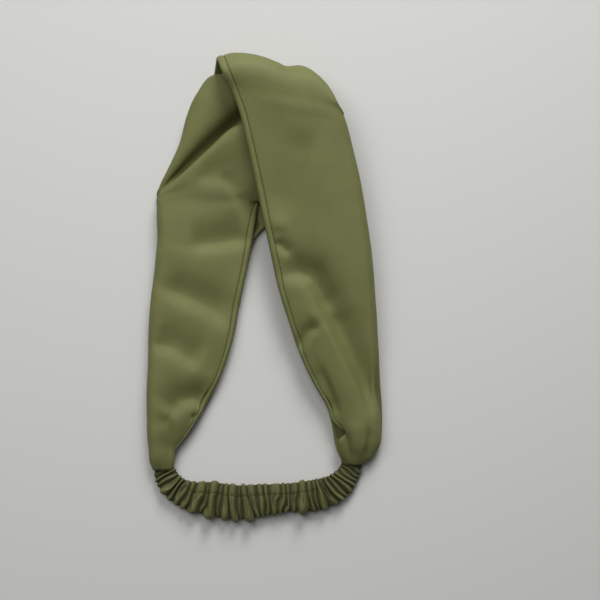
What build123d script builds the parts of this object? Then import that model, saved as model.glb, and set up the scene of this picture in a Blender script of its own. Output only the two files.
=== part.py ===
"""A twisted fabric headband, lying relaxed on a table with its loop flat.

One wide strip of two-ply fabric is folded along its length, so that each leg is a flat pocket:
its long outer edge is a soft fold and its two hemmed edges lie together on the inner side,
open between them. At the front of the headband the strip makes a half twist and is folded over
there, so the right leg crosses over the left one. Both ends are gathered and sewn to a ruched
casing, which holds the elastic.

The origin is the middle of the headband on the table. +X runs from the left leg to the right
one, +Y from the elastic casing to the twist, and +Z up from the table. All sizes are millimetres.
"""

from build123d import *
import os
from math import atan2, cos, degrees

# The whole headband
loop_length = 234.0  # from the casing's outer edge to the fold above the twist
loop_width = 117.0  # over the two legs where they are widest apart

# The wrap: one strip of face and lining, folded along its length
band_width = 54.0  # across the folded strip near the twist
leg_height = 10.0  # thickness of one folded leg as it lies
fabric_ply = 0.8
ply_clearance = 0.2  # between the face and the lining
crossing_clearance = 0.4  # between the left leg and the right one that lies over it
edge_round = 4.0  # roundness of the soft fold along the outer edge
hem_depth = 2.25  # from the open edge to its edge stitching
mouth_margin = 2.0  # a leg's hollow is cut this far past its open sides
left_mouth_rise = 30.0  # from the casing's centreline up to the left leg's gathered end
right_mouth_rise = 24.0
left_mouth_slack = 1.5  # looseness of a leg's gathered end round the seam and neck inside it
right_mouth_slack = 2.8
left_fold_drop = 6.0  # the left leg ends this far short of the fold that covers it

# Threads
thread_width = 0.6
thread_depth = 0.3
seam_depth = 0.4  # thickness of the gathered end seam round the casing's neck
seam_width = 1.2
seam_round = 1.0
neck_clearance = 0.25  # between the seam and the neck inside it
seam_clearance = 0.15  # between the seam and the lining round it

# The ruched casing
casing_width = 18.0
casing_height = 8.0
casing_wall = 0.8
casing_round = 2.0
heading = 4.5  # the ruffle between the casing's inner edge and its stitching
neck_tuck = 6.0  # how far the casing's neck reaches into a leg

# The elastic
elastic_width = 8.0
elastic_thickness = 1.2
elastic_clearance = 0.2  # on each side of it in the casing's necks

# Places that follow from the sizes above
half_width = loop_width / 2
fold_y = loop_length / 2
casing_y = casing_width / 2 - loop_length / 2
left_mouth_y = casing_y + left_mouth_rise
right_mouth_y = casing_y + right_mouth_rise
left_fold_y = fold_y - left_fold_drop
lining_inset = fabric_ply + ply_clearance
seam_cover = lining_inset + fabric_ply + seam_clearance
neck_cover = seam_cover + seam_depth + neck_clearance
neck_height = leg_height - 2 * neck_cover
neck_width = elastic_width + 2 * (elastic_clearance + casing_wall)
left_mouth_width = neck_width + 2 * neck_cover + left_mouth_slack
right_mouth_width = neck_width + 2 * neck_cover + right_mouth_slack

# Each leg by stations from its gathered end to the twist: share of the leg's length,
# middle as a share of half the loop's width, and width as a share of the band's width.
right_stations = [
    (0.0, 0.786, right_mouth_width / band_width),
    (0.04, 0.788, 0.43),
    (0.09, 0.783, 0.475),
    (0.16, 0.708, 0.614),
    (0.24, 0.638, 0.745),
    (0.42, 0.521, 0.926),
    (0.62, 0.415, 0.99),
    (0.82, 0.287, 1.01),
]
left_stations = [
    (0.0, -0.863, left_mouth_width / band_width),
    (0.035, -0.84, 0.4),
    (0.085, -0.769, 0.52),
    (0.16, -0.706, 0.64),
    (0.254, -0.65, 0.76),
    (0.376, -0.598, 0.815),
    (0.52, -0.521, 0.87),
    (0.635, -0.48, 0.95),
    (0.74, -0.37, 0.97),
    (0.84, -0.23, 0.99),
]

# Round the fold at the twist, from the outer edge to the corner where the hems turn over:
# share of half the loop's width, and share of the leg's length.
right_fold = [
    (0.69, 0.87),
    (0.54, 0.925),
    (0.34, 0.96),
    (0.15, 0.97),
    (-0.05, 0.985),
    (-0.24, 1.0),
    (-0.385, 0.99),
]
left_fold = [
    (-0.53, 0.945),
    (-0.38, 0.985),
    (-0.14, 1.0),
    (0.12, 0.98),
    (0.33, 0.945),
]

# The casing's centreline between the two legs: share of the way across, and height above the
# casing's straight line.
casing_bends = [
    (-0.01, 19.0),
    (0.01, 10.5),
    (0.07, 4.0),
    (0.2, 0.8),
    (0.37, -0.6),
    (0.55, 0.6),
    (0.75, 1.8),
    (0.87, 5.0),
    (0.945, 11.0),
]

# The casing's full-height body: share of the centreline, and width as a share of its width
casing_swell = [
    (0.12, 0.62),
    (0.2, 0.8),
    (0.3, 1.0),
    (0.45, 1.03),
    (0.6, 0.96),
    (0.74, 1.0),
    (0.84, 0.82),
    (0.91, 0.62),
]


def across(share):
    """A place across the loop, from its middle."""
    return share * half_width


def leg_outline(stations, fold, mouth_y, end_y, side, slope=0.0):
    """A leg's outer edge, from its gathered end round the fold at the twist, and its open edge
    back from there, measured from the gathered end along a plane that rises at the slope."""

    def laid(x, along):
        return (x, along * (end_y - mouth_y) / cos(slope))

    def edge(edge_side):
        return [
            laid(across(middle) + edge_side * width * band_width / 2, along)
            for along, middle, width in stations
        ]

    end = [laid(across(share), along) for share, along in fold]
    return edge(side) + end, end[-1:] + edge(-side)[::-1]


# The left leg lies flat. The right leg rises from its gathered end, so that it just clears the
# left one where their open edges cross.
left_leg = (left_stations, left_fold, left_mouth_y, left_fold_y, -1)
right_leg = (right_stations, right_fold, right_mouth_y, fold_y, 1)
left_outer, left_inner = leg_outline(*left_leg)
level_inner = leg_outline(*right_leg)[1]
left_open_edge = Spline(*[(x, left_mouth_y + y) for x, y in left_inner])
right_open_edge = Spline(*[(x, right_mouth_y + y) for x, y in level_inner])
crossing = left_open_edge.find_intersection_points(right_open_edge).sort_by(Axis.Y)[0]
right_slope = atan2(leg_height + crossing_clearance, crossing.Y - right_mouth_y)
right_outer, right_inner = leg_outline(*right_leg, right_slope)
left_plane = Plane(origin=(0, left_mouth_y, 0))
right_plane = Plane(origin=(0, right_mouth_y, 0)).rotated((degrees(right_slope), 0, 0))


def drawn_in(outer, inner, inset, side):
    """A leg's outline, the outer and the open edge, moved inwards all round."""
    loop = [Vector(x, y) for x, y in outer + inner[1:]]
    drawn = []
    for before, here, after in zip(loop[-1:] + loop[:-1], loop, loop[1:] + loop[:1]):
        arriving = (here - before).normalized()
        leaving = (after - here).normalized()
        turned = (arriving + leaving) * (side * inset / (1 + arriving.dot(leaving)))
        drawn.append(here + Vector(-turned.Y, turned.X))
    return drawn[: len(outer)], drawn[len(outer) - 1 :]


def leg_blank(plane, outer, inner, side, inset=0.0, open_by=0.0):
    """The solid outline of a leg, drawn in by inset and rounded along its outer fold.

    With open_by it runs past the open edge and the gathered end, to hollow a leg out.
    """
    drawn_outer, drawn_inner = drawn_in(outer, inner, inset, side)
    with BuildPart() as blank:
        with BuildSketch(plane.offset(inset)):
            with BuildLine():
                soft_fold = Spline(*drawn_outer)
                if open_by:
                    mouth = soft_fold @ 0 - (soft_fold % 0) * open_by
                    corner = soft_fold @ 1 + (soft_fold % 1) * open_by
                    beyond = [(x - side * open_by, y) for x, y in inner[1:]]
                    Line(mouth, soft_fold @ 0)
                    Polyline(soft_fold @ 1, corner, *beyond, (beyond[-1][0], mouth.Y), mouth)
                else:
                    Spline(*drawn_inner)
                    Line(drawn_inner[-1], drawn_outer[0])
            make_face()
        extrude(amount=leg_height - 2 * inset)
        up = Axis(plane.origin, plane.z_dir)
        for end in (0, -1):
            rim = faces().sort_by(up)[end].edges().sort_by(SortBy.LENGTH)[-1]
            fillet(rim, radius=edge_round - inset)
    return blank.part


def leg_layer(plane, outer, inner, side, inset):
    """One ply of a folded leg: open along its hemmed edges and at its gathered end."""
    open_by = inset + fabric_ply + mouth_margin
    with BuildPart() as layer:
        add(leg_blank(plane, outer, inner, side, inset))
        hollow = leg_blank(plane, outer, inner, side, inset + fabric_ply, open_by)
        add(hollow, mode=Mode.SUBTRACT)
    return layer.part


def hem_threads(plane, outer, inner, side):
    """The edge stitching of both hems of a leg, laid flush in the face."""
    hem_line = drawn_in(outer, inner, hem_depth, side)[1]
    with BuildPart() as threads:
        for level in (0, leg_height - thread_depth):
            with BuildSketch(plane.offset(level)):
                with BuildLine():
                    Spline(*hem_line)
                trace(line_width=thread_width)
            extrude(amount=thread_depth)
    return threads.part


def end_seam(plane, mouth_x):
    """The gathering thread round the casing's neck, just inside a leg's gathered end."""
    start = Plane(
        origin=plane.from_local_coords((mouth_x, seam_width, leg_height / 2)),
        x_dir=plane.x_dir,
        z_dir=plane.y_dir,
    )
    inner_width = neck_width + 2 * neck_clearance
    inner_height = neck_height + 2 * neck_clearance
    with BuildPart() as seam:
        with BuildSketch(start):
            RectangleRounded(
                inner_width + 2 * seam_depth, inner_height + 2 * seam_depth, seam_round
            )
            Rectangle(inner_width, inner_height, mode=Mode.SUBTRACT)
        extrude(amount=seam_width)
    return seam.part


# The casing's centreline, from inside one gathered end to inside the other
left_mouth = Vector(across(left_stations[0][1]), left_mouth_y)
right_mouth = Vector(across(right_stations[0][1]), right_mouth_y)
span = right_mouth.X - left_mouth.X
tucked = Vector(0, neck_tuck)
with BuildLine() as centreline:
    Spline(
        left_mouth + tucked,
        left_mouth,
        *[(left_mouth.X + share * span, casing_y + height) for share, height in casing_bends],
        right_mouth,
        right_mouth + tucked,
        tangents=[-tucked, tucked],
    )
centre = centreline.edges()[0]


def beside(share, distance):
    """A point beside the casing's centreline, towards the loop's inside if positive."""
    along = centre % share
    return centre @ share + Vector(-along.Y, along.X) * distance


def casing_body(inset):
    """The full-height part of the casing between its necks, drawn in by inset."""
    widths = [(share, width * casing_width / 2 - inset) for share, width in casing_swell]
    end_share = inset / centre.length
    widths[0] = (widths[0][0] + end_share, widths[0][1])
    widths[-1] = (widths[-1][0] - end_share, widths[-1][1])
    with BuildPart() as body:
        with BuildSketch(Plane.XY.offset(inset)):
            with BuildLine():
                upper = Spline(*[beside(share, half) for share, half in widths])
                lower = Spline(*[beside(share, -half) for share, half in widths[::-1]])
                Line(upper @ 1, lower @ 0)
                Line(lower @ 1, upper @ 0)
            make_face()
        extrude(amount=casing_height - 2 * inset)
        for end in (0, -1):
            rims = faces().sort_by(Axis.Z)[end].edges().sort_by(SortBy.LENGTH)[-2:]
            fillet(rims, radius=casing_round - inset)
    return body.part


def channel(width, height):
    """A straight-sided band along the whole centreline, at the middle of the necks' height."""
    with BuildPart() as band:
        with BuildSketch(Plane.XY.offset((leg_height - height) / 2)):
            add(centreline.line)
            trace(line_width=width)
        extrude(amount=height)
    return band.part


def heading_threads():
    """The casing's stitching, below the ruffle along its inner edge, laid flush in it."""
    line = [
        beside(share, width * casing_width / 2 - heading) for share, width in casing_swell[1:-1]
    ]
    with BuildPart() as threads:
        for level in (0, casing_height - thread_depth):
            with BuildSketch(Plane.XY.offset(level)):
                with BuildLine():
                    Spline(*line)
                trace(line_width=thread_width)
            extrude(amount=thread_depth)
    return threads.part


os.makedirs("parts", exist_ok=True)
for leg, plane, outer, inner, side, mouth_x in (
    ("left", left_plane, left_outer, left_inner, -1, left_mouth.X),
    ("right", right_plane, right_outer, right_inner, 1, right_mouth.X),
):
    with BuildPart() as edge_stitching:
        add(hem_threads(plane, outer, inner, side))
    edge_stitching.part.label = f"{leg}_edge_stitching"

    with BuildPart() as wrap_face:
        add(leg_layer(plane, outer, inner, side, 0.0))
        add(edge_stitching.part, mode=Mode.SUBTRACT)
    wrap_face.part.label = f"{leg}_wrap_face"

    with BuildPart() as wrap_lining:
        add(leg_layer(plane, outer, inner, side, lining_inset))
    wrap_lining.part.label = f"{leg}_wrap_lining"

    with BuildPart() as seam:
        add(end_seam(plane, mouth_x))
    seam.part.label = f"{leg}_end_seam"

    for piece in (edge_stitching, wrap_face, wrap_lining, seam):
        export_step(piece.part, f"parts/{piece.part.label}.step")

with BuildPart() as casing_stitching:
    add(heading_threads())
casing_stitching.part.label = "casing_stitching"
export_step(casing_stitching.part, "parts/casing_stitching.step")

with BuildPart() as elastic_casing:
    add(casing_body(0.0))
    add(channel(neck_width, neck_height))
    add(casing_body(casing_wall), mode=Mode.SUBTRACT)
    elastic_way = channel(neck_width - 2 * casing_wall, neck_height - 2 * casing_wall)
    add(elastic_way, mode=Mode.SUBTRACT)
    add(casing_stitching.part, mode=Mode.SUBTRACT)
elastic_casing.part.label = "elastic_casing"
export_step(elastic_casing.part, "parts/elastic_casing.step")

with BuildPart() as elastic_web:
    add(channel(elastic_width, elastic_thickness))
elastic_web.part.label = "elastic_web"
export_step(elastic_web.part, "parts/elastic_web.step")
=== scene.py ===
# %% [markdown]
# # A twisted fabric headband, made as its maker would
#
# The headband is one long strip of woven fabric. It is folded along its length, twisted once at
# the front, and closed by a short ruched tube with elastic inside. This lesson builds each piece
# in millimetres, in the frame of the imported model, and turns it into a mesh in metres at the end.
# The strip is drawn as a row of cross-sections, because that is how cloth is cut and folded: every
# section is the same hundred millimetres of cloth, laid a little differently.

# %% Load the frame
import bpy
import numpy as np
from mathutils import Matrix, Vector


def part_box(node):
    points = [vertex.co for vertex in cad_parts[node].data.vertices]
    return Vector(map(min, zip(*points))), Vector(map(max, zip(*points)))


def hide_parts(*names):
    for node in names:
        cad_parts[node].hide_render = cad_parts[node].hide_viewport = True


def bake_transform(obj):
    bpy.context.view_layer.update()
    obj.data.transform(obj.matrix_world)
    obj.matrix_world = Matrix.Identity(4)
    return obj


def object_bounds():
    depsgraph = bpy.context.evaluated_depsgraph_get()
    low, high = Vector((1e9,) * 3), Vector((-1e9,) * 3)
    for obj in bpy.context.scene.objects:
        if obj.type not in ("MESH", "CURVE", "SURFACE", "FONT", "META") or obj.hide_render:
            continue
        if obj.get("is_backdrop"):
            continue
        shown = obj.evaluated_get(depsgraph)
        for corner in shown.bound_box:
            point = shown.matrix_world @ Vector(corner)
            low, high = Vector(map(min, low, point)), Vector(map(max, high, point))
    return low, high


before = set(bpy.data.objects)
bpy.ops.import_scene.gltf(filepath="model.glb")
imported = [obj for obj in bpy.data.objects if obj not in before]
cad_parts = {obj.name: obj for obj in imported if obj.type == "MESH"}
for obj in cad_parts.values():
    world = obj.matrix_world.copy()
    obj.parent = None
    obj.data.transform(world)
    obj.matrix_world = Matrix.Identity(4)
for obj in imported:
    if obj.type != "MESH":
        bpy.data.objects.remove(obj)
cad_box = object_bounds()
MM = 0.001
WRAP = ("left_wrap_face", "right_wrap_face")
CASING = ("elastic_casing",)


def plan_box(nodes):
    """The lowest and highest corners of some nodes together, in plan, in millimetres."""
    corners = np.array([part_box(node) for node in nodes])[..., :2] / MM
    return corners[:, 0].min(axis=0), corners[:, 1].max(axis=0)


def set_into(points, drawn, nodes):
    """Plan points drawn for a box between two corners, set into the box of some nodes."""
    low, high = plan_box(nodes)
    drawn_low, drawn_high = np.array(drawn, float)
    return low + (points - drawn_low) * (high - low) / (drawn_high - drawn_low)


print("wrap box", plan_box(WRAP), "casing box", plan_box(CASING))
print("box of the frame", [tuple(round(c / MM, 1) for c in end) for end in cad_box])

# %% [markdown]
# ## The strip, and how its cloth is measured
#
# A point of the strip has two addresses. The first is how far along the strip its section lies,
# from the gathered end on the right, over the twist, to the gathered end on the left. The second
# is how far across the cloth it is: 0 at the first hem, 50 at the soft fold, 100 at the second
# hem. The samples across are close together at the hems and at the fold, where the cloth bends.

# %% Samples across the cloth
STRIP_WIDTH = 100.0
HEM = 2.6
half = np.concatenate(
    [
        np.linspace(0.0, 2.0, 6),
        np.linspace(2.0, 3.2, 9)[1:],
        np.linspace(3.2, 44.0, 30)[1:],
        np.linspace(44.0, 50.0, 7)[1:],
    ]
)
across = np.concatenate([half, STRIP_WIDTH - half[-2::-1]])
share = across / STRIP_WIDTH
print("samples across the cloth:", len(across))

# %% [markdown]
# A curve that passes through chosen points is enough for both directions. Each stretch is a cubic
# whose slopes come from its neighbours, weighted by how far away they are, so that unevenly
# spaced points still give an even curve.


# %% A smooth curve through points
def smooth_through(places, points, at):
    """The points of a smooth curve that passes through points at places."""
    places, points = np.asarray(places, float), np.asarray(points, float)
    step = np.diff(places)
    slope = np.diff(points, axis=0) / step.reshape(-1, *[1] * (points.ndim - 1))
    before = (step[:-1] / (step[:-1] + step[1:])).reshape(-1, *[1] * (points.ndim - 1))
    tangent = np.concatenate(
        [slope[:1], slope[1:] * before + slope[:-1] * (1 - before), slope[-1:]]
    )
    i = np.clip(np.searchsorted(places, at, side="right") - 1, 0, len(step) - 1)
    shape = (-1, *[1] * (points.ndim - 1))
    h, t = step[i].reshape(shape), ((at - places[i]) / step[i]).reshape(shape)
    return (
        points[i] * (2 * t**3 - 3 * t**2 + 1)
        + tangent[i] * h * (t**3 - 2 * t**2 + t)
        + points[i + 1] * (3 * t**2 - 2 * t**3)
        + tangent[i + 1] * h * (t**3 - t**2)
    )


def ease(t):
    """0 before 0, 1 after 1, and a smooth step between."""
    t = np.clip(t, 0.0, 1.0)
    return t * t * (3 - 2 * t)


# %% [markdown]
# ## A section of a folded leg
#
# A leg is the strip folded in two. Its upper layer runs from the first hem, on the loop's inner
# side, out to the soft fold, which is a small half round, and its lower layer runs back to the
# second hem. The layers are closest at the hems. The legs have no corners, so a formula draws
# each section from its two edges and three heights.

# %% Leg sections
FOLD_SHARE = 0.07  # of the cloth, on each side of the middle, taken up by the soft fold
DOME = 1.0  # how far the upper layer bulges, in mm
LEAST_FLOOR = 0.5  # lowest underside of a section, in mm
RISE_FROM, RISE_PER_MM = -84.0, 0.082  # where the right leg leaves the table, and how steeply


def leg_section(inner, outer, floor, plump, hems):
    """A folded section from the inner edge to the outer one: (x, y) of each, in plan.

    floor is the height of its underside, plump its thickness at the fold and hems at the hems.
    """
    inner, outer = np.array(inner, float), np.array(outer, float)
    out = (outer - inner) / np.linalg.norm(outer - inner)
    radius = plump / 2
    bend_start = outer - out * radius
    turn = np.clip((share - (0.5 - FOLD_SHARE)) / (2 * FOLD_SHARE), 0, 1) * np.pi
    flat = np.clip(np.minimum(share, 1 - share) / (0.5 - FOLD_SHARE), 0, 1)
    plan = inner + (bend_start - inner) * flat[:, None] + out * (radius * np.sin(turn))[:, None]
    thickness = hems + (plump - hems) * ease(flat * 1.15)
    upper = 0.5 + 0.5 * np.cos(turn)
    sag = (plump - thickness) * 0.35
    height = floor + sag + thickness * upper + DOME * np.sin(np.pi * flat) * upper
    height -= 0.5 * ease(1 - share / 0.05)
    return np.column_stack([plan, height])


def rise(y):
    """How far the right leg's underside stands above the table."""
    return max(LEAST_FLOOR + RISE_PER_MM * (y - RISE_FROM), LEAST_FLOOR)


right_leg = [
    # inner edge, outer edge, plump, hems
    ((41.0, -89.5), (49.5, -89.5), 4.5, 2.5),
    ((38.2, -86.5), (54.0, -86.0), 6.5, 3.0),
    ((35.8, -80.5), (57.2, -80.0), 9.0, 3.5),
    ((34.3, -71.5), (58.2, -71.0), 10.0, 4.0),
    ((31.6, -61.5), (58.0, -61.0), 9.5, 4.0),
    ((24.9, -49.5), (57.3, -49.0), 9.5, 4.0),
    ((18.1, -35.0), (56.5, -34.0), 9.5, 4.0),
    ((12.3, -18.0), (55.3, -17.0), 9.0, 4.0),
    ((6.9, -0.5), (53.8, 0.5), 9.0, 4.0),
    ((2.7, 19.0), (52.0, 20.0), 9.0, 4.0),
    ((-1.2, 37.0), (49.6, 38.0), 9.0, 4.0),
    ((-4.9, 55.0), (46.2, 56.0), 9.0, 4.0),
    ((-8.6, 72.0), (42.4, 71.0), 9.0, 4.0),
    ((-12.1, 86.0), (39.9, 79.5), 9.0, 4.0),
    ((-16.1, 97.0), (37.6, 86.5), 9.0, 4.5),
]
left_leg = [
    # the same four measures
    ((-5.4, 31.0), (-54.0, 37.5), 8.8, 4.0),
    ((-7.4, 20.0), (-53.6, 24.0), 9.0, 4.0),
    ((-9.7, 8.0), (-55.2, 10.0), 9.0, 4.0),
    ((-13.1, -8.0), (-57.2, -7.0), 9.0, 4.0),
    ((-16.3, -25.0), (-58.6, -24.0), 9.0, 4.0),
    ((-20.8, -40.0), (-58.4, -40.0), 9.0, 4.0),
    ((-26.9, -54.0), (-59.0, -54.0), 9.0, 4.0),
    ((-33.7, -66.0), (-59.0, -66.0), 9.0, 4.0),
    ((-40.2, -75.0), (-58.7, -75.0), 8.5, 3.5),
    ((-45.6, -82.0), (-58.0, -82.5), 7.5, 3.0),
    ((-46.3, -88.0), (-57.6, -88.5), 6.4, 3.0),
    ((-47.0, -92.6), (-56.2, -92.4), 4.6, 2.5),
]
right_sections = [
    leg_section(inner, outer, rise(inner[1]), plump, hems)
    for inner, outer, plump, hems in right_leg
]
left_sections = [
    leg_section(inner, outer, LEAST_FLOOR, plump, hems) for inner, outer, plump, hems in left_leg
]
print("leg sections:", len(right_sections), "right,", len(left_sections), "left")

# %% [markdown]
# ## Over the top: the fold above the twist
#
# The doubled strip goes over a crosswise fold and comes back underneath. The outer layer goes
# round a large half circle and the inner layer round a small one. Seen from above, the fold's
# outline has two low humps with a notch between them.

# %% Fold sections
fold_outline = [
    (-23.4, 112.8),
    (-15.5, 115.4),
    (-4.0, 114.2),
    (5.5, 111.0),
    (10.5, 108.9),
    (18.0, 109.2),
    (24.5, 106.0),
    (30.8, 99.8),
    (35.6, 92.0),
]
FOLD_MIDDLE = 13.5  # height of the fold's middle
OUTER_ROUND, INNER_ROUND = 11.5, 4.2


def fold_section(turn):
    """The section of the strip where it has turned by an angle over the fold."""
    out_and_back = 1 - np.abs(2 * share - 1)
    outline = smooth_through(np.linspace(0, 1, len(fold_outline)), fold_outline, out_and_back)
    inside = ease((share - 0.44) / 0.12)
    radius = OUTER_ROUND + (INNER_ROUND - OUTER_ROUND) * inside
    back = turn > np.pi / 2
    away = np.array([-0.2, -0.98]) if back else np.array([0.36, -0.93])
    drawn_in = (OUTER_ROUND - radius) + radius * (1 - np.sin(turn))
    tucked = ease((share - 0.84) / 0.16) * ease((turn - 1.2) / 1.2)
    spread = ease(1 - share / 0.10) * ease((turn - 1.0) / 1.2)
    plan = outline + away * drawn_in[:, None] + np.outer(tucked, (6.0, -4.0))
    plan += np.outer(spread, (-0.7, 0.3))
    return np.column_stack([plan, FOLD_MIDDLE + radius * np.cos(turn)])


fold_sections = [fold_section(np.radians(angle)) for angle in (25, 60, 90, 120, 155)]

# %% [markdown]
# ## The half twist
#
# Behind the fold the strip makes half a turn on its way to the left leg. The soft fold crosses
# over the top as a diagonal roll, with a deep pocket behind it, and both hems cross underneath.
# No formula says how cloth falls there, so these sections are drawn point by point, starting at
# the first hem: under the twist, round its right side, over to the roll, down into the pocket, up
# over the back layer, round the left side, and under again to the second hem.

# %% Twist sections
twist_share = [0, 0.12, 0.24, 0.34, 0.43, 0.5, 0.535, 0.575, 0.62, 0.70, 0.78, 0.85, 0.92, 1.0]
twist_points = [
    [
        (-21.5, 101, 2), (-2, 92, 2), (20, 83, 2.5), (31, 80, 5), (33, 83, 9), (27, 87.5, 12),
        (24, 88.5, 10.5), (20, 90, 9.5), (13, 93, 10), (-2, 99, 11), (-15, 104, 11.5),
        (-25.5, 105.4, 9.5), (-25, 102, 5), (-17, 96, 3.5),
    ],
    [
        (-17, 90, 1.6), (2, 82, 2), (18, 76, 2.5), (24, 75, 7), (18, 80, 12), (9, 85, 14.5),
        (10, 85.5, 9), (9, 88, 2.5), (0, 92, 4), (-10, 95, 11), (-24, 97, 11.5),
        (-33, 97, 8.5), (-33, 93.5, 3.5), (-22, 88, 2.2),
    ],
    [
        (-11, 75, 1.4), (4, 68, 1.6), (15, 65, 4.5), (12, 68, 9.4), (1, 73, 12.6), (-12, 80, 13.4),
        (-9.0, 79.2, 8.0), (-8.4, 80.8, 1.4), (-12.6, 83.8, 1.6), (-17.8, 88, 9.8),
        (-29.5, 88.6, 11.6), (-38, 86.4, 7.5), (-37, 83, 2.8), (-20, 77, 1.6),
    ],
    [
        (-6, 60, 1.2), (4, 54.5, 1.4), (9, 52, 5.5), (-1, 57, 9.6), (-14, 62.5, 11.4),
        (-27.5, 68, 12.2), (-25.6, 67.4, 7.6), (-25.2, 68.2, 2.0), (-28.2, 70.6, 2.6),
        (-32.0, 73.8, 9.0), (-37.6, 74.6, 9.8), (-41.8, 72.4, 6.2), (-40, 69, 2.0), (-13, 60, 1.2),
    ],
    [
        (-3.8, 48, 1.4), (1.5, 43.5, 3.5), (-6, 46.5, 8), (-18, 50.5, 10.2), (-31, 53, 10.8),
        (-43.2, 53.6, 10.0), (-42.5, 54.0, 6.8), (-42.9, 55.2, 3.4), (-44.6, 56.8, 4.6),
        (-45.4, 57.8, 7.2), (-46.9, 58.8, 7.2), (-48.6, 57.0, 4.4), (-43, 53, 1.4), (-7, 46, 1),
    ],
    [
        (-4, 42, 2.6), (-9, 42.5, 6.4), (-19, 44.5, 8.9), (-29, 46.6, 9.8), (-39.5, 48.4, 9.8),
        (-48.6, 48.9, 8.8), (-48.8, 49.6, 6.8), (-49.2, 50.2, 5.2), (-49.9, 50.8, 5.2),
        (-50.8, 51.2, 5.6),
        (-51.8, 50.9, 4.9), (-52.2, 49.6, 2.8), (-44, 48, 1.2), (-4.5, 41, 0.9),
    ],
    [
        (-4.3, 38.5, 3.4), (-14, 40, 7.4), (-27, 42.3, 9.1), (-38, 44.2, 9.5), (-47.5, 45.4, 8.9),
        (-52.6, 45.8, 7.4), (-52.9, 46.0, 6.2), (-53.1, 46.1, 5.4), (-53.3, 46.1, 4.8),
        (-53.5, 46.0, 4.0),
        (-53.6, 45.6, 3.2), (-53.4, 44.9, 1.9), (-44.5, 43.5, 1.1), (-4.8, 37.8, 0.8),
    ],
]
twist_sections = [smooth_through(twist_share, points, share) for points in twist_points]
sections = np.array(right_sections + fold_sections + twist_sections + left_sections)
print("sections from end to end:", len(sections))

# %% [markdown]
# The sections are spaced by the cloth between them, and a smooth curve along the strip joins
# each sample to the same sample of the next section.

# %% The strip's middle surface
ROWS = 330
gaps = np.linalg.norm(np.diff(sections, axis=0), axis=2).mean(axis=1)
stations = np.concatenate([[0], np.cumsum(gaps)])
along = np.linspace(0, stations[-1], ROWS)
strip = smooth_through(stations, sections, along)
print("the strip is", round(stations[-1]), "mm long and", STRIP_WIDTH, "mm wide when flat")

# %% [markdown]
# ## Wrinkles and slackness
#
# Cloth that is sewn and then pulled to shape keeps soft valleys and ridges where it was pulled.
# Each one here is a short line across the fabric with a width and a depth, felt only by the layer
# that it is in. A very gentle unevenness over everything keeps the layers from looking pressed.

# %% Valleys and ridges
UPPER = (0.0, 0.5)
creases = [
    # line in plan, width, depth (negative for a ridge), the layer it is in, and its leg
    ([(-40, 20.5), (-22, 22), (-6, 25.5)], 5.0, 3.6, UPPER, "left"),
    ([(-54, 2), (-40, -5), (-27, -11), (-16, -20)], 5.5, 3.8, UPPER, "left"),
    ([(-58, -27), (-45, -31), (-31, -40)], 5.6, 3.4, UPPER, "left"),
    ([(-50, -66), (-42, -57.5), (-35, -56.5), (-28, -62)], 4.6, 3.8, UPPER, "left"),
    ([(-37.5, -65), (-34.5, -67)], 1.5, 1.4, UPPER, "left"),
    ([(-49.5, -86), (-47.5, -74), (-49, -62)], 3.0, 1.8, UPPER, "left"),
    ([(-22, 58), (-14, 46), (-8, 38)], 4.0, 1.2, UPPER, "left"),
    ([(-36, 56), (-22, 54), (-7, 48)], 5.6, 1.3, UPPER, "left"),
    ([(5, 23), (8, 19.5), (12, 15)], 2.2, 2.2, UPPER, "right"),
    ([(2.5, 31), (7, 30), (11, 28.5)], 2.4, -0.7, UPPER, "right"),
    ([(6, 6), (16, 6.5), (23, 4), (28, -4), (33, -16)], 5.0, 4.4, UPPER, "right"),
    (
        [(27, -2), (32.5, -14.5), (38.5, -27), (45, -41), (50.5, -53), (57, -68)],
        5.6, 5.4, UPPER, "right",
    ),
    ([(20, -12), (28, -15.5), (35, -29), (42, -43), (52, -64)], 2.6, -1.2, UPPER, "right"),
    ([(15.5, -33), (21.5, -23.3), (28, -18.5)], 2.2, 2.4, UPPER, "right"),
    ([(8, 30), (12, 42), (17, 60), (22, 80)], 6.5, 1.8, UPPER, "right"),
    ([(37, -67), (33, -54), (26, -38)], 3.0, 1.5, UPPER, "right"),
    ([(43.5, -66), (44.5, -76), (45.5, -86)], 2.4, -0.8, UPPER, "right"),
    ([(40, -72), (41.5, -79), (43, -87)], 1.6, 1.0, UPPER, "right"),
    ([(52, -70), (51.5, -79), (49, -87)], 1.8, 1.0, UPPER, "right"),
]
fold_rows = len(right_sections) + 2
turning_point = stations[fold_rows]
side_of = {"right": along < turning_point, "left": along > turning_point}


def distance_to_line(points, line):
    """How far points lie from a line of straight runs in plan, and how far along it.

    Distances are positive on the line's left-hand side and negative on its right.
    """
    nearest, signed, place, total = None, None, None, 0.0
    runs = [np.linalg.norm(np.subtract(b, a)) for a, b in zip(line, line[1:])]
    for (a, b), run in zip(zip(line, line[1:]), runs):
        a, b = np.array(a, float), np.array(b, float)
        t = np.clip(((points - a) @ (b - a)) / run**2, 0, 1)
        away = points - (a + t[..., None] * (b - a))
        d = np.linalg.norm(away, axis=-1)
        left = ((b - a)[0] * away[..., 1] - (b - a)[1] * away[..., 0]) / run
        here = (total + t * run) / sum(runs)
        if nearest is None:
            nearest, signed, place = d, np.clip(left, -d, d), here
        else:
            closer = d < nearest
            place, signed = np.where(closer, here, place), np.where(closer, left, signed)
            nearest = np.minimum(d, nearest)
        total += run
    return nearest, signed, place


def outward(grid):
    """Unit normals of a grid of points, towards the cloth's face."""
    normal = np.cross(np.gradient(grid, axis=1), np.gradient(grid, axis=0))
    return normal / np.linalg.norm(normal, axis=2, keepdims=True)


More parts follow.
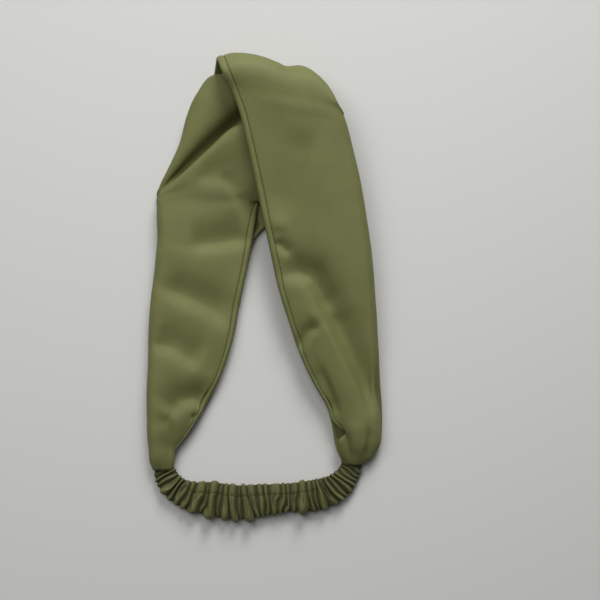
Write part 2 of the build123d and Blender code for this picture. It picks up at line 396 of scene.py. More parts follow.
relief = np.zeros(strip.shape[:2])
for line, width, depth, (low, high), side in creases:
    d, left, place = distance_to_line(strip[..., :2], line)
    d = d / (1.25 + 0.5 * np.tanh(left / 1.5))  # steeper on the right-hand side
    fade = ease(place * 3.5) * ease((1 - place) * 3.5)
    mine = side_of[side][:, None] & (share >= low) & (share <= high)[None, :]
    relief -= np.where(mine, depth * np.exp(-((d / width) ** 2)) * (0.15 + 0.85 * fade), 0.0)
u, v = np.meshgrid(along, across, indexing="ij")
slack = (
    0.30 * np.sin(u / 17 + v / 23) * np.sin(v / 11 - u / 41)
    + 0.12 * np.sin(u / 8.3 - v / 9.1 + 1.3) * np.sin(v / 6.7 + u / 19)
)
hem_quiet = ease(np.minimum(across, STRIP_WIDTH - across) / 8)
relief += slack * hem_quiet[None, :]
strip = strip + outward(strip) * relief[..., None]

# The upper layer gapes at the mouth of the right leg, so its hem stands back from the lower one.
gape = np.exp(-(((strip[..., 1] + 73.5) / np.where(strip[..., 1] > -73.5, 4.2, 2.6)) ** 2))
gape *= side_of["right"][:, None] * ease(1 - share / 0.16)[None, :]
strip[..., 0] += 6.4 * gape
strip[..., 2] += 0.8 * gape

# Under the crossing the lower layer of the left leg reaches a little way into the loop.
reach_in = np.exp(-(((strip[..., 1] - 33.0) / 6.5) ** 2)) * side_of["left"][:, None]
strip[..., 0] += 6.2 * reach_in * ease((share - 0.84) / 0.16)[None, :]
strip[..., 2] = np.maximum(strip[..., 2], 1.17)

# The drawing was made for a wrap of this size, and its place and size come from the frame's.
DRAWN_WRAP = ((-59.9, -84.8), (58.6, 116.7))
strip[..., :2] = set_into(strip[..., :2], DRAWN_WRAP, WRAP)
print("deepest valley", round(-relief.min(), 2), "mm, highest ridge", round(relief.max(), 2), "mm")

# %% [markdown]
# ## Two plies and a folded hem
#
# The strip is two layers thick. The face layer is wider than the lining, and its edges fold over
# the lining as narrow hems. Both layers are built as thin closed shells
# from the same middle surface: the face goes round the edge and stops under the hem's stitches,
# and the lining starts just beside them.


# %% Shells and their meshes
def mesh_object(name, points, faces, uv=None):
    """A smooth mesh object from points in millimetres, with an optional weave map."""
    mesh = bpy.data.meshes.new(name)
    mesh.from_pydata([tuple(p * MM) for p in points], [], faces)
    if uv is not None:
        layer = mesh.uv_layers.new(name="weave")
        order = np.zeros(len(mesh.loops), dtype=np.int32)
        mesh.loops.foreach_get("vertex_index", order)
        layer.data.foreach_set("uv", np.asarray(uv, dtype=np.float32)[order].ravel())
    mesh.polygons.foreach_set("use_smooth", [True] * len(mesh.polygons))
    mesh.update()
    obj = bpy.data.objects.new(name, mesh)
    bpy.context.scene.collection.objects.link(obj)
    return obj


def ring_mesh(name, rings, uv):
    """A closed tube of rings (rows, around, xyz), with its two ends capped."""
    rows, around = rings.shape[:2]
    grid = np.arange(rows * around).reshape(rows, around)
    nxt = np.roll(grid, -1, axis=1)
    quads = np.stack([grid[:-1], grid[1:], nxt[1:], nxt[:-1]], axis=-1).reshape(-1, 4)
    faces = quads.tolist()
    for row, back in ((0, False), (rows - 1, True)):
        ring = grid[row].tolist()
        n = len(ring)
        for k in range(n // 2 - 1):
            cap = [ring[k], ring[k + 1], ring[n - 2 - k], ring[n - 1 - k]]
            faces.append(cap[::-1] if back else cap)
    return mesh_object(name, rings.reshape(-1, 3), faces, uv.reshape(-1, 2))


def shell(name, columns, top, under, edge):
    """A thin closed shell of the strip between two distances from its middle surface."""
    grid, face = strip[:, columns], outward(strip)[:, columns]
    side = np.gradient(strip, axis=1)[:, columns]
    side /= np.linalg.norm(side, axis=2, keepdims=True)
    top, under = top[columns][None, :, None], under[columns][None, :, None]
    upper, lower = grid + face * top, grid + face * under
    middle = (upper + lower) / 2
    first = middle[:, :1] - side[:, :1] * edge
    last = middle[:, -1:] + side[:, -1:] * edge
    rings = np.concatenate([upper, last, lower[:, ::-1], first], axis=1)
    a = across[columns]
    around = np.concatenate([a, [a[-1] + edge], a[::-1], [a[0] - edge]])
    uv = np.stack(np.broadcast_arrays(around[None, :], along[:, None]), axis=-1) * MM
    return ring_mesh(name, rings[:, ::-1], uv[:, ::-1])


FACE_PLY, LINING_PLY, PLY_GAP = 0.65, 0.55, 0.06
from_hem = np.minimum(across, STRIP_WIDTH - across)
in_hem = 1 - ease((from_hem - HEM - 0.1) / 0.5)
stitch_groove = 0.5 * np.exp(-(((from_hem - HEM) / 0.24) ** 2))
face_top = FACE_PLY - stitch_groove + 0.5 * np.sin(np.pi * np.clip(from_hem / HEM, 0, 1)) ** 0.8
face_under = PLY_GAP / 2 - (LINING_PLY + 0.3) * in_hem
every = np.arange(len(across))
wrap_face = shell("wrap_face", every, face_top, face_under, 0.45)
inside_hems = every[from_hem > HEM + 0.5]
lining_top = np.full(len(across), -PLY_GAP / 2)
lining_under = lining_top - LINING_PLY
wrap_lining = shell("wrap_lining", inside_hems, lining_top, lining_under, 0.1)
for piece in (wrap_face, wrap_lining):
    print(piece.name, len(piece.data.polygons), "faces")

# %% [markdown]
# ## The ruched casing
#
# The back of the headband is a short tube of the same cloth, longer than it looks, bunched up
# along an elastic band. A row of stitches near its inner side leaves a
# narrow frill beyond it. The gathers run across the tube. They are uneven: some run right across,
# some die out halfway, and near the ends they lean towards the legs.

# %% The casing's centreline and widths
casing_line = np.array(
    [
        (-51.6, -84.0), (-51.5, -90.0), (-49.9, -96.6), (-45.2, -102.4), (-38.0, -105.9),
        (-27.5, -107.5), (-15.0, -109.3), (-1.5, -108.2), (12.5, -106.8), (25.0, -105.7),
        (33.5, -103.0), (39.4, -98.4), (43.2, -92.0), (44.6, -85.0),
    ],
    float,
)
chords = np.concatenate([[0], np.cumsum(np.linalg.norm(np.diff(casing_line, axis=0), axis=1))])
CASING_ROWS = 440
way = np.linspace(0, chords[-1], CASING_ROWS)
DRAWN_CASING = ((-57.4, -118.1), (51.0, -72.0))
middle_line = set_into(smooth_through(chords, casing_line, way), DRAWN_CASING, CASING)
direction = np.gradient(middle_line, axis=0)
direction /= np.linalg.norm(direction, axis=1, keepdims=True)
inward = np.column_stack([-direction[:, 1], direction[:, 0]])
width_at = smooth_through(
    chords, [8.5, 10.5, 12.5, 13.5, 15.5, 18.0, 18.4, 17.2, 15.4, 16.8, 15.5, 13.5, 11.5, 9.5], way
)
height_at = smooth_through(
    chords, [4.6, 5.6, 6.8, 7.2, 7.4, 7.6, 7.4, 7.4, 7.4, 7.6, 7.4, 7.0, 6.0, 4.6], way
)
FRILL = 4.5
frill_at = FRILL * ease((way - 20) / 10) * ease((chords[-1] - 22 - way) / 10)
print("casing line", round(chords[-1], 1), "mm long")

# %% Gathers: how wide each one is, from the left end to the right
gather_widths = np.array(
    [
        2.4, 2.0, 2.8, 2.2, 3.0, 3.6, 2.6, 4.4, 3.0, 5.8, 2.2, 5.0, 2.6, 3.6, 4.4, 2.2, 4.4, 3.8,
        3.2, 2.4, 4.8, 3.2, 2.6, 3.6, 5.4, 3.0, 2.0, 3.0, 3.8, 2.8, 2.4, 3.2, 2.2, 2.8, 2.0, 2.4,
        2.0,
    ]
)
gather_ends = np.concatenate([[0], np.cumsum(gather_widths)])
gather_ends = 3.0 + gather_ends * (chords[-1] - 6.0) / gather_ends[-1]
gather_depth = 0.75 + 0.25 * np.sin(2.4 * np.arange(len(gather_widths)) + 0.6)
angle = np.concatenate(
    [
        np.linspace(0, 0.50, 10)[:-1],
        np.linspace(0.50, 0.92, 19)[:-1],
        np.linspace(0.92, np.pi, 46)[:-1],
        np.linspace(np.pi, 2 * np.pi, 37)[:-1],
    ]
)
CASING_AROUND = len(angle)
reach = np.cos(angle)  # 1 at the frill's edge, -1 at the outer edge
lift = np.sin(angle)
s, q = np.meshgrid(way, reach, indexing="ij")
lean = 1.3 * np.sin(s / 7.3 + 0.5) * q + 0.45 * np.sin(1.9 * s / 3 + 2.6 * q)
lean += 0.5 * q * np.sin(s / 3.1)
where_in = np.clip(s + lean, gather_ends[0] + 1e-6, gather_ends[-1] - 1e-6)
gather_at = np.searchsorted(gather_ends, where_in, side="right") - 1
gather_at = np.clip(gather_at, 0, len(gather_widths) - 1)
wide = np.diff(gather_ends)[gather_at]
t = (where_in - gather_ends[gather_at]) / wide
lobe = (1 - np.abs(2 * t - 1) ** 1.5) ** 0.9
lobe = lobe * np.clip(wide / 3.6, 0.45, 1.25) * gather_depth[gather_at]
split = np.exp(-(((t - 0.42) * wide / 0.55) ** 2)) * (wide > 3.4)
lobe = lobe - 0.38 * split * ease(1.1 - np.abs(q - 0.35) * 1.1)
quiet = ease((s - 2.0) / 3) * ease((chords[-1] - 2.0 - s) / 3)
widest, narrowest = gather_widths.max(), gather_widths.min()
print("gathers:", len(gather_widths), "widths", narrowest, "to", widest, "mm")

# %% The casing's outer surface
w, h, f = width_at[:, None], height_at[:, None], frill_at[:, None]
body_half = (w - f) / 2
corner = np.sign(reach) * np.abs(reach) ** 0.82
roof = np.sign(lift) * np.abs(lift) ** 0.75
frilled = ease(f / 3)
in_frill = ease((corner[None, :] - 0.74) / 0.14) * frilled
sewn = np.exp(-(((corner[None, :] - 0.80) / 0.035) ** 2)) * frilled
offset = -f / 2 + body_half * corner[None, :] + f * ease((corner[None, :] - 0.80) / 0.2)
height = h / 2 + (h / 2) * roof[None, :] * (1 - 0.15 * in_frill)
over = np.where(lift > 0, np.abs(lift) ** 0.4, 0.25 * lift)[None, :]
depth = (5.2 - 2.0 * in_frill) * quiet
height = height + (lobe - 0.78) * depth * over - np.sign(lift)[None, :] * sewn * 0.9
edge_out = (lobe - 0.6) * quiet * reach[None, :] * np.abs(reach)[None, :]
offset = offset + edge_out * np.where(reach > 0, 1.2, 2.0)[None, :]
lowest_valley = h * (0.32 + 0.24 * np.abs(roof))[None, :]
height = np.where(lift > 0, np.maximum(height, lowest_valley), height)
height = np.maximum(height, 0.35)
tube = np.concatenate(
    [
        middle_line[:, None, :] + inward[:, None, :] * offset[..., None],
        height[..., None],
    ],
    axis=2,
)
print("casing from", tube.min(axis=(0, 1)).round(1), "to", tube.max(axis=(0, 1)).round(1))

# %% The casing as a thin shell, open only at its hidden ends
INNER_SHARE, INNER_FLOOR = 0.86, 0.8  # the inner skin's size beside the outer one, lowest height
centre_of_ring = tube.mean(axis=1, keepdims=True)
inner = centre_of_ring + (tube - centre_of_ring) * INNER_SHARE
inner[..., 2] = np.maximum(inner[..., 2], INNER_FLOOR)


def two_skins(name, outer, inside, uv):
    """A closed shell between two tubes of the same rows, joined at both ends."""
    rows, around = outer.shape[:2]
    grid = np.arange(rows * around).reshape(rows, around)
    nxt = np.roll(grid, -1, axis=1)
    out = np.stack([grid[:-1], nxt[:-1], nxt[1:], grid[1:]], axis=-1).reshape(-1, 4)
    faces = out.tolist() + (out[:, ::-1] + rows * around).tolist()
    for row, back in ((0, False), (rows - 1, True)):
        rim = np.stack(
            [grid[row], grid[row] + rows * around, nxt[row] + rows * around, nxt[row]], axis=-1
        )
        faces += (rim[:, ::-1] if back else rim).tolist()
    points = np.concatenate([outer.reshape(-1, 3), inside.reshape(-1, 3)])
    return mesh_object(name, points, faces, np.concatenate([uv, uv]).reshape(-1, 2))


CASING_CLOTH, FULLNESS = 44.0, 1.25  # cloth round the tube in mm, and its length over the chord
round_length = np.linspace(0, CASING_CLOTH, CASING_AROUND)
flat_way = way[:, None] * FULLNESS
casing_uv = np.stack(np.broadcast_arrays(round_length[None, :], flat_way), axis=-1) * MM
ruched_casing = two_skins("ruched_casing", tube, inner, casing_uv)

# Painted shade: how deep each point lies in the gathers, from 0 to 1, for the material to darken
# the colour there.
gather_shade = np.clip((0.56 - lobe) * 1.9, 0, 1) * quiet
gather_shade_layer = ruched_casing.data.attributes.new("gather_shade", "FLOAT", "POINT")
both_skins = np.concatenate([gather_shade.ravel(), gather_shade.ravel()])
gather_shade_layer.data.foreach_set("value", both_skins.astype(np.float32))
print("casing faces", len(ruched_casing.data.polygons))

# %% [markdown]
# ## The elastic inside the casing
#
# A narrow ribbed elastic runs through the whole casing and is caught in both end seams. It is
# what bunches the tube, so it lies in the same curve with no waves of its own.

# %% The elastic band
ELASTIC_WIDTH, ELASTIC_THICK = 7.0, 1.0
BAND_ROWS = 240
rows = np.linspace(0.05, 0.95, BAND_ROWS)
picked = (rows * (CASING_ROWS - 1)).astype(int)
rib = np.linspace(0, 2 * np.pi, 36, endpoint=False)
band_half = np.minimum(ELASTIC_WIDTH, width_at[picked] * 0.62)[:, None] / 2
band_off = -frill_at[picked][:, None] / 2
band_off = band_off + band_half * np.sign(np.cos(rib)) * np.abs(np.cos(rib)) ** 0.4
ribbing = (1 + 0.08 * np.sin(np.arange(BAND_ROWS) * 1.5))[:, None]
band_up = height_at[picked][:, None] * 0.30
band_up = band_up + ELASTIC_THICK / 2 * np.sign(np.sin(rib)) * np.abs(np.sin(rib)) ** 0.5 * ribbing
band = np.concatenate(
    [
        middle_line[picked][:, None, :] + inward[picked][:, None, :] * band_off[..., None],
        band_up[..., None],
    ],
    axis=2,
)
band_uv = np.stack(np.broadcast_arrays(rib[None, :], way[picked][:, None]), axis=-1) * MM
elastic_band = ring_mesh("elastic_band", band[:, ::-1], band_uv[:, ::-1])
print("elastic faces", len(elastic_band.data.polygons))

# %% [markdown]
# ## End seams
#
# Each leg is gathered onto the casing's end and oversewn. The seam is a soft ridge of thread and
# turned-in cloth round the casing's neck, just inside the mouth of the leg.


# %% Seam rings round the necks
def end_seam(name, row, spread):
    """A ridged ring round the casing at one of its rows."""
    turns, wire = 120, 14
    around = np.linspace(0, 2 * np.pi, turns, endpoint=False)
    picks = np.clip(np.searchsorted(angle, around), 0, CASING_AROUND - 1)
    track = tube[row, picks]
    core = track.mean(axis=0)
    away = track - core
    away /= np.linalg.norm(away, axis=1, keepdims=True)
    lengthways = np.array([direction[row, 0], direction[row, 1], 0.0])
    beat = 0.16 * np.abs(np.sin(around * 22))
    loop = np.linspace(0, 2 * np.pi, wire, endpoint=False)
    rings = (
        track[:, None, :]
        + away[:, None, :] * ((0.35 + beat)[:, None] * np.cos(loop) + 0.2)[..., None]
        + lengthways * (np.sin(loop) * spread)[None, :, None]
    )
    rings[..., 2] = np.maximum(rings[..., 2], 0.3)
    grid = np.arange(turns * wire).reshape(turns, wire)
    down, right = np.roll(grid, -1, axis=0), np.roll(grid, -1, axis=1)
    faces = np.stack([grid, right, np.roll(down, -1, axis=1), down], axis=-1).reshape(-1, 4)
    return mesh_object(name, rings.reshape(-1, 3), faces[:, ::-1].tolist())


SEAM_ROW = 14  # rows in from each end of the casing
left_seam = end_seam("left_seam", SEAM_ROW, 1.0)
right_seam = end_seam("right_seam", CASING_ROWS - 1 - SEAM_ROW, 1.0)

# %% [markdown]
# ## Stitches
#
# A sewing machine lays one short thread after another at a steady pitch. One stitch is modelled
# as a small bent capsule, and a row of points with a direction says where each one goes, so a
# small node group can set a copy at every point.


# %% One stitch
def one_stitch():
    """A stitch one unit long along X, one unit thick, bulging up along Z."""
    ways, sides = 5, 6
    points, faces = [], []
    for i in range(ways):
        t = i / (ways - 1)
        fat = 0.5 * np.sqrt(max(1 - (2 * t - 1) ** 4, 0.12))
        for k in range(sides):
            a = 2 * np.pi * k / sides
            bulge = 0.35 * np.sin(np.pi * t)
            points.append((t - 0.5, fat * np.cos(a), fat * np.sin(a) + bulge))
    for i in range(ways - 1):
        for k in range(sides):
            a, b = i * sides + k, i * sides + (k + 1) % sides
            faces.append((a, b, b + sides, a + sides))
    faces.append(tuple(range(sides))[::-1])
    faces.append(tuple(range((ways - 1) * sides, ways * sides)))
    mesh = bpy.data.meshes.new("one_stitch")
    mesh.from_pydata(points, [], faces)
    mesh.update()
    return bpy.data.objects.new("one_stitch", mesh)


stitch = one_stitch()


# %% Setting a row of stitches with Geometry Nodes
def stitch_nodes():
    """A node group that sets a stitch on every point, along and facing its two attributes."""
    group = bpy.data.node_groups.new("set_stitches", "GeometryNodeTree")
    face = group.interface
    face.new_socket("Points", in_out="INPUT", socket_type="NodeSocketGeometry")
    face.new_socket("Stitch", in_out="INPUT", socket_type="NodeSocketObject")
    face.new_socket("Size", in_out="INPUT", socket_type="NodeSocketVector")
    face.new_socket("Thread", in_out="INPUT", socket_type="NodeSocketMaterial")
    face.new_socket("Stitches", in_out="OUTPUT", socket_type="NodeSocketGeometry")
    nodes, link = group.nodes, group.links.new
    given, result = nodes.new("NodeGroupInput"), nodes.new("NodeGroupOutput")
    shape = nodes.new("GeometryNodeObjectInfo")
    place = nodes.new("GeometryNodeInstanceOnPoints")
    turn = nodes.new("FunctionNodeAxesToRotation")
    turn.primary_axis, turn.secondary_axis = "X", "Z"
    axes = {}
    for name in ("along", "facing"):
        node = nodes.new("GeometryNodeInputNamedAttribute")
        node.data_type = "FLOAT_VECTOR"
        node.inputs["Name"].default_value = name
        axes[name] = node.outputs["Attribute"]
    real = nodes.new("GeometryNodeRealizeInstances")
    paint = nodes.new("GeometryNodeSetMaterial")
    link(given.outputs["Stitch"], shape.inputs["Object"])
    link(given.outputs["Points"], place.inputs["Points"])
    link(shape.outputs["Geometry"], place.inputs["Instance"])
    link(axes["along"], turn.inputs["Primary Axis"])
    link(axes["facing"], turn.inputs["Secondary Axis"])
    link(turn.outputs["Rotation"], place.inputs["Rotation"])
    link(given.outputs["Size"], place.inputs["Scale"])
    link(place.outputs["Instances"], real.inputs["Geometry"])
    link(real.outputs["Geometry"], paint.inputs["Geometry"])
    link(given.outputs["Thread"], paint.inputs["Material"])
    link(paint.outputs["Geometry"], result.inputs["Stitches"])
    return group


set_stitches = stitch_nodes()


def sew(name, points, ways, faces, length, thick, thread):
    """A row of stitches as one mesh: points in mm, with a direction and a facing for each."""
    mesh = bpy.data.meshes.new(name + "_row")
    mesh.from_pydata([tuple(p * MM) for p in points], [], [])
    for label, values in (("along", ways), ("facing", faces)):
        layer = mesh.attributes.new(label, "FLOAT_VECTOR", "POINT")
        layer.data.foreach_set("vector", np.asarray(values, dtype=np.float32).ravel())
    row = bpy.data.objects.new(name + "_row", mesh)
    bpy.context.scene.collection.objects.link(row)
    modifier = row.modifiers.new("stitches", "NODES")
    modifier.node_group = set_stitches
    keys = {i.name: i.identifier for i in set_stitches.interface.items_tree if i.in_out == "INPUT"}
    modifier[keys["Stitch"]] = stitch
    modifier[keys["Size"]] = (length * MM, thick * MM, thick * MM)
    modifier[keys["Thread"]] = thread
    evaluated = row.evaluated_get(bpy.context.evaluated_depsgraph_get())
    done = bpy.data.meshes.new_from_object(evaluated)
    done.name = name
    obj = bpy.data.objects.new(name, done)
    bpy.context.scene.collection.objects.link(obj)
    bpy.data.objects.remove(row)
    obj.data.polygons.foreach_set("use_smooth", [True] * len(obj.data.polygons))
    return obj


# %% [markdown]
# ## Cloth, thread and elastic as materials
#
# The cloth is a matt, brushed olive weave. Its colour drifts a little from place to place and
# from thread to thread, and it has a faint pale sheen at grazing angles from loose fibres. Deep in
# the gathers of the casing, shade is painted into the colour as a darker tone, through a value kept
# on the casing's own mesh. The weave itself is half a millimetre, so it is a fine bump.


# %% Colour helper and the weave group
def colour(r, g, b):
    """A colour written as 0 to 255, as the shader needs it."""
    parts = [c / 255 for c in (r, g, b)]
    return (*[c / 12.92 if c <= 0.04045 else ((c + 0.055) / 1.055) ** 2.4 for c in parts], 1.0)


def weave_group():
    """Threads going both ways: gives a mix factor for colour and a height for bump."""
    group = bpy.data.node_groups.new("woven", "ShaderNodeTree")
    face = group.interface
    pitch = face.new_socket("Pitch", in_out="INPUT", socket_type="NodeSocketFloat")
    pitch.default_value = 0.00055
    face.new_socket("Map", in_out="INPUT", socket_type="NodeSocketVector")
    face.new_socket("Light", in_out="INPUT", socket_type="NodeSocketColor")
    face.new_socket("Dark", in_out="INPUT", socket_type="NodeSocketColor")
    face.new_socket("Colour", in_out="OUTPUT", socket_type="NodeSocketColor")
    face.new_socket("Height", in_out="OUTPUT", socket_type="NodeSocketFloat")
    face.new_socket("Roughness", in_out="OUTPUT", socket_type="NodeSocketFloat")
    nodes, link = group.nodes, group.links.new
    given, result = nodes.new("NodeGroupInput"), nodes.new("NodeGroupOutput")

    def maths(operation, a, b=None):
        node = nodes.new("ShaderNodeMath")
        node.operation = operation
        for socket, value in zip(node.inputs, (a, b)):
            if value is None:
                continue
            if isinstance(value, (int, float)):
                socket.default_value = value
            else:
                link(value, socket)
        return node.outputs[0]

    split = nodes.new("ShaderNodeSeparateXYZ")
    link(given.outputs["Map"], split.inputs[0])
    turns = maths("DIVIDE", 2 * np.pi, given.outputs["Pitch"])
    warp = maths("SINE", maths("MULTIPLY", split.outputs["X"], turns))
    weft = maths("SINE", maths("MULTIPLY", split.outputs["Y"], turns))
    woven = maths("MULTIPLY", warp, weft)
    fuzz = nodes.new("ShaderNodeTexNoise")
    fuzz.inputs["Scale"].default_value = 900.0
    fuzz.inputs["Detail"].default_value = 3.0
    fuzz.inputs["Roughness"].default_value = 0.65
    link(given.outputs["Map"], fuzz.inputs["Vector"])
    cloud = nodes.new("ShaderNodeTexNoise")
    cloud.inputs["Scale"].default_value = 70.0
    cloud.inputs["Detail"].default_value = 2.0
    link(given.outputs["Map"], cloud.inputs["Vector"])
    fine = maths("MULTIPLY", fuzz.outputs[0], 0.45)
    broad = maths("MULTIPLY", cloud.outputs[0], 0.55)
    tone = maths("ADD", fine, broad)
    tone = maths("ADD", tone, maths("MULTIPLY", woven, 0.06))
    ramp = nodes.new("ShaderNodeMapRange")
    link(tone, ramp.inputs["Value"])
    ramp.inputs["From Min"].default_value = 0.30
    ramp.inputs["From Max"].default_value = 0.70
    mix = nodes.new("ShaderNodeMix")
    mix.data_type = "RGBA"
    link(ramp.outputs["Result"], mix.inputs["Factor"])
    link(given.outputs["Dark"], mix.inputs[6])
    link(given.outputs["Light"], mix.inputs[7])
    link(mix.outputs[2], result.inputs["Colour"])
    height = maths("ADD", maths("MULTIPLY", woven, 0.5), fuzz.outputs[0])
    link(height, result.inputs["Height"])
    rough = maths("ADD", maths("MULTIPLY", fuzz.outputs[0], 0.12), 0.50)
    link(rough, result.inputs["Roughness"])
    return group


woven = weave_group()


# %% Materials
def cloth(name, light, dark, bump, sheen, mapped=True, pitch=0.55):
    """A woven material. mapped uses the piece's own weave map, otherwise its shape."""
    material = bpy.data.materials.new(name)
    material.use_nodes = True
    nodes, link = material.node_tree.nodes, material.node_tree.links.new
    shader = nodes["Principled BSDF"]
    shader.inputs["Sheen Weight"].default_value = sheen
    shader.inputs["Sheen Roughness"].default_value = 0.45
    shader.inputs["Sheen Tint"].default_value = colour(196, 200, 160)
    shader.inputs["Specular IOR Level"].default_value = 0.3
    where = nodes.new("ShaderNodeTexCoord")
    threads = nodes.new("ShaderNodeGroup")
    threads.node_tree = woven
    threads.inputs["Pitch"].default_value = pitch * MM
    threads.inputs["Light"].default_value = colour(*light)
    threads.inputs["Dark"].default_value = colour(*dark)
    link(where.outputs["UV" if mapped else "Object"], threads.inputs["Map"])
    relief_node = nodes.new("ShaderNodeBump")
    relief_node.inputs["Strength"].default_value = bump
    relief_node.inputs["Distance"].default_value = 0.0002
    link(threads.outputs["Height"], relief_node.inputs["Height"])
    link(threads.outputs["Colour"], shader.inputs["Base Color"])
    link(threads.outputs["Roughness"], shader.inputs["Roughness"])
    link(relief_node.outputs["Normal"], shader.inputs["Normal"])
    return material


face_cloth = cloth("olive_weave", (105, 108, 62), (97, 100, 56), 0.5, 0.04)
lining_cloth = cloth("olive_lining", (100, 101, 60), (91, 92, 53), 0.5, 0.05)
# The casing is the same cloth as the face, but its two colours are set darker: painted shade for
# the shade among its gathers.
shaded_casing_cloth = cloth("olive_ruched_painted_shade", (98, 99, 58), (86, 87, 50), 0.5, 0.04)
thread_look = cloth("olive_thread", (74, 77, 46), (62, 65, 38), 0.5, 0.05, mapped=False, pitch=0.3)
elastic_look = cloth("olive_elastic", (86, 90, 60), (66, 70, 46), 0.7, 0.05, pitch=0.9)


# %% Painted shade down in the gathers of the casing
def paint_gather_shade(material, tone, amount):
    """Paints shade into a material: mixes a darker tone in where the mesh's value for the gathers'
    hollows says so.
    """
    nodes, link = material.node_tree.nodes, material.node_tree.links.new
    shader = nodes["Principled BSDF"]
    before = shader.inputs["Base Color"].links[0].from_socket
    where = nodes.new("ShaderNodeAttribute")
    where.attribute_name = "gather_shade"
    much = nodes.new("ShaderNodeMath")
    much.operation = "MULTIPLY"
    much.inputs[1].default_value = amount
    mix = nodes.new("ShaderNodeMix")
    mix.data_type = "RGBA"
    mix.inputs[7].default_value = colour(*tone)
    link(where.outputs["Fac"], much.inputs[0])
    link(much.outputs[0], mix.inputs["Factor"])
    link(before, mix.inputs[6])
    link(mix.outputs[2], shader.inputs["Base Color"])


# Painted shade: a dark olive mixed into the casing's colour deep in the gathers, where shade falls.
paint_gather_shade(shaded_casing_cloth, (36, 37, 20), 0.92)
wrap_face.data.materials.append(face_cloth)
wrap_lining.data.materials.append(lining_cloth)
ruched_casing.data.materials.append(shaded_casing_cloth)
elastic_band.data.materials.append(elastic_look)
for seam in (left_seam, right_seam):
    seam.data.materials.append(thread_look)

# %% [markdown]
# ## Sewing the rows
#
# Two rows hold the hems, one along each edge of the strip, a little way in from it. A third row
# closes the frill of the casing. Every row is set out on a track: the stitches' places at an even
# pitch, and the way that the track runs at each.

# %% Setting out a row of stitches
def at_pitch(at, run, values):
    """Values given along a track, read at some distances along it."""
    return np.column_stack([np.interp(at, run, values[:, k]) for k in range(3)])


def set_out(track, margin, pitch):
    """Distances along a track, its running length, the places there, and the way ahead."""
    run = np.concatenate([[0], np.cumsum(np.linalg.norm(np.diff(track, axis=0), axis=1))])
    at = np.arange(margin, run[-1] - margin, pitch)
    places = at_pitch(at, run, track)
    return at, run, places, at_pitch(at + 0.5, run, track) - places


# %% Hem rows and the frill's row
THREAD_THICK = 0.34
HEM_STITCH, HEM_PITCH = 1.9, 2.6
FRILL_STITCH, FRILL_PITCH = 1.8, 2.4
hem_rows = []
facing_all = outward(strip)
for hem_place in (HEM, STRIP_WIDTH - HEM):
    column = int(np.argmin(np.abs(across - hem_place)))
    track = strip[:, column] + facing_all[:, column] * (FACE_PLY - 0.45)
    at, run, places, ahead = set_out(track, 3.0, HEM_PITCH)
    hem_rows.append((places, ahead, at_pitch(at, run, facing_all[:, column])))
hem_stitching = sew(
    "hem_stitching",
    *[np.concatenate(both) for both in zip(*hem_rows)],
    HEM_STITCH, THREAD_THICK, thread_look,
)
sewn_column = int(np.argmin(np.abs(corner[:60] - 0.80)))
keep = (way > 25) & (way < chords[-1] - 26)
at, run, places, ahead = set_out(tube[keep, sewn_column], 1.0, FRILL_PITCH)
places[:, 2] += 0.12
frill_stitching = sew(
    "frill_stitching", places, ahead, np.tile([0.0, 0.0, 1.0], (len(at), 1)),
    FRILL_STITCH, THREAD_THICK, thread_look,
)
print("stitches:", sum(len(row[0]) for row in hem_rows) + len(at))

# %% [markdown]
# ## Baked placements, and the frame's parts hidden
#
# Each piece has its placement baked into its mesh, and the frame's own parts for the strip,
# the casing, the elastic, the stitching and the seams are hidden.

# %% Baking the pieces' placements, and hiding the frame's parts that they replace
for piece in (wrap_face, wrap_lining, hem_stitching):
    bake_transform(piece)
for piece in (ruched_casing, elastic_band, frill_stitching, left_seam, right_seam):
    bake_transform(piece)
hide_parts("left_wrap_face", "right_wrap_face")
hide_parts("left_wrap_lining", "right_wrap_lining")
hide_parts("left_edge_stitching", "right_edge_stitching")
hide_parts("elastic_casing")
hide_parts("elastic_web")
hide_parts("casing_stitching")
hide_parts("left_end_seam")
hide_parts("right_end_seam")

# %% [markdown]
# ## Table top, light and camera
#
# The headband lies flat on a pale matt table, under a soft light from its top side and a broader
# one from above, and the camera looks straight down. The first lamp's narrow spread keeps the
# table under it from glaring.

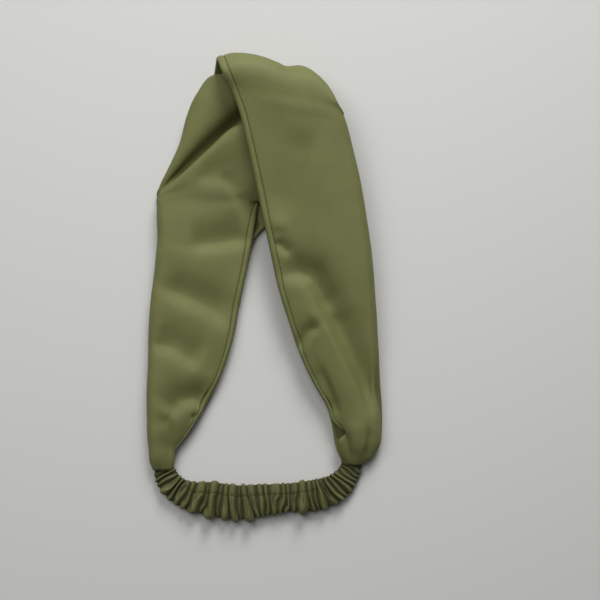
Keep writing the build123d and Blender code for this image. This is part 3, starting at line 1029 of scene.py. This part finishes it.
# %% Table top
bpy.ops.mesh.primitive_plane_add(size=6.0, location=(0, 0, -0.0002))
table = bpy.context.object
table.name = "table_top"
table_look = bpy.data.materials.new("pale_table")
table_look.use_nodes = True
table_shader = table_look.node_tree.nodes["Principled BSDF"]
table_shader.inputs["Base Color"].default_value = colour(194, 194, 191)
table_shader.inputs["Roughness"].default_value = 1.0
table_shader.inputs["Specular IOR Level"].default_value = 0.1
table.data.materials.append(table_look)
table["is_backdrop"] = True


# %% Lights and world
def soft_light(name, place, size, watts, spread=180, aim=(0.0, 0.0, 0.0)):
    """A square area light that looks at a point, with a spread in degrees."""
    lamp = bpy.data.lights.new(name, "AREA")
    lamp.size, lamp.energy, lamp.spread = size, watts, np.radians(spread)
    obj = bpy.data.objects.new(name, lamp)
    obj.location = place
    obj.rotation_euler = (Vector(aim) - Vector(place)).to_track_quat("-Z", "Y").to_euler()
    bpy.context.scene.collection.objects.link(obj)
    return obj


soft_light("window_light", (0.20, 0.92, 0.62), 0.5, 2.6, spread=80)
soft_light("broad_light", (-0.36, 0.45, 1.0), 0.8, 6.9)
world = bpy.data.worlds.new("soft_room")
world.use_nodes = True
world.node_tree.nodes["Background"].inputs["Color"].default_value = (1.0, 1.0, 1.0, 1.0)
world.node_tree.nodes["Background"].inputs["Strength"].default_value = 0.15
bpy.context.scene.world = world
bpy.context.scene.view_settings.view_transform = "Standard"

# %% Camera, straight above
CAMERA_HEIGHT = 0.72  # above a plane through the cloth, 10 mm over the table
SEEN_WIDTH = 0.300  # metres of that plane across the view
eye = bpy.data.cameras.new("camera")
eye.sensor_width = 36.0
eye.lens = eye.sensor_width * CAMERA_HEIGHT / SEEN_WIDTH
eye.clip_start = 0.01
camera = bpy.data.objects.new("camera", eye)
camera.location = (0.0175, -0.007, CAMERA_HEIGHT + 0.01)
bpy.context.scene.collection.objects.link(camera)
bpy.context.scene.camera = camera

seen_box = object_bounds()
for label, box in (("cad box", cad_box), ("visual box", seen_box)):
    print(label, [tuple(round(c / MM, 1) for c in end) for end in box])
